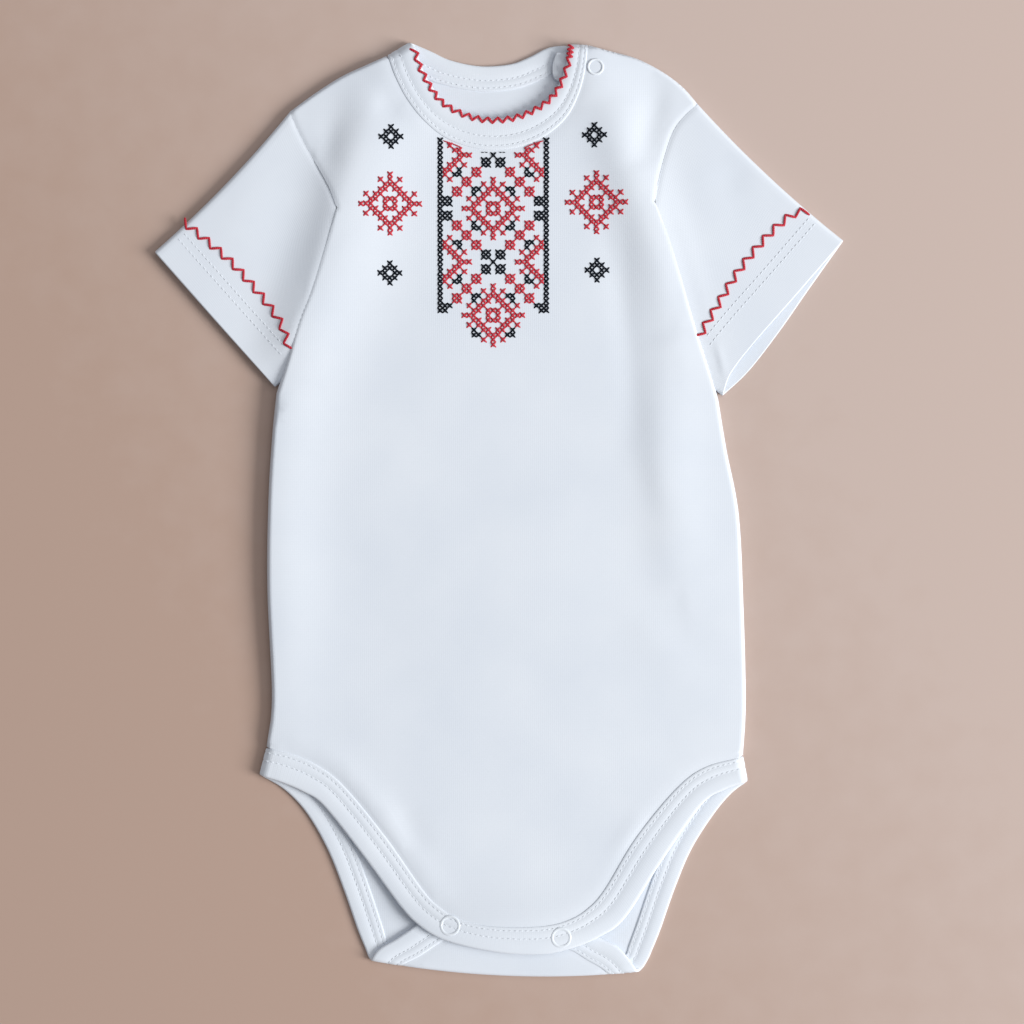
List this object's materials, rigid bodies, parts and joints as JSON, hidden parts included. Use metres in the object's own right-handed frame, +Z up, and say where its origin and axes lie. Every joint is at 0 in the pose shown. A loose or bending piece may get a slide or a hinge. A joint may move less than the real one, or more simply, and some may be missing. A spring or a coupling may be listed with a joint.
{
  "type": "vyshyvanka baby bodysuit",
  "caption": "Short-sleeved knit baby bodysuit with a bound neck, shoulder snap and snapped crotch, laid flat on its back with its fronts and sleeves over it.",
  "frame": {"origin": "centre of the laid garment on the surface that it rests on", "axes": "+X to the viewer's right across the garment, +Y from the crotch to the neck, +Z up, out of the front"},
  "size_m": [0.3308, 0.4492, 0.009],
  "materials": {
    "body_knit": "white cotton interlock knit, matt and soft",
    "binding_knit": "the same white knit, folded double and topstitched",
    "snap": "white enamelled ring snap, satin",
    "red_thread": "stranded embroidery thread, soft sheen",
    "black_thread": "stranded embroidery thread, soft sheen",
    "white_thread": "fine sewing thread of the seams and hems"
  },
  "bodies": {
    "root": {"front_body": "body_knit", "back_body": "body_knit", "sleeve_left": "body_knit", "sleeve_right": "body_knit", "neck_binding": "binding_knit", "back_placket": "binding_knit", "front_leg_binding": "binding_knit", "back_leg_binding": "binding_knit", "shoulder_snap_cap": "snap", "shoulder_snap_core": "snap", "shoulder_snap_back": "snap", "crotch_snap_left_cap": "snap", "crotch_snap_left_core": "snap", "crotch_snap_left_back": "snap", "crotch_snap_right_cap": "snap", "crotch_snap_right_core": "snap", "crotch_snap_right_back": "snap"}
  },
  "joints": []
}
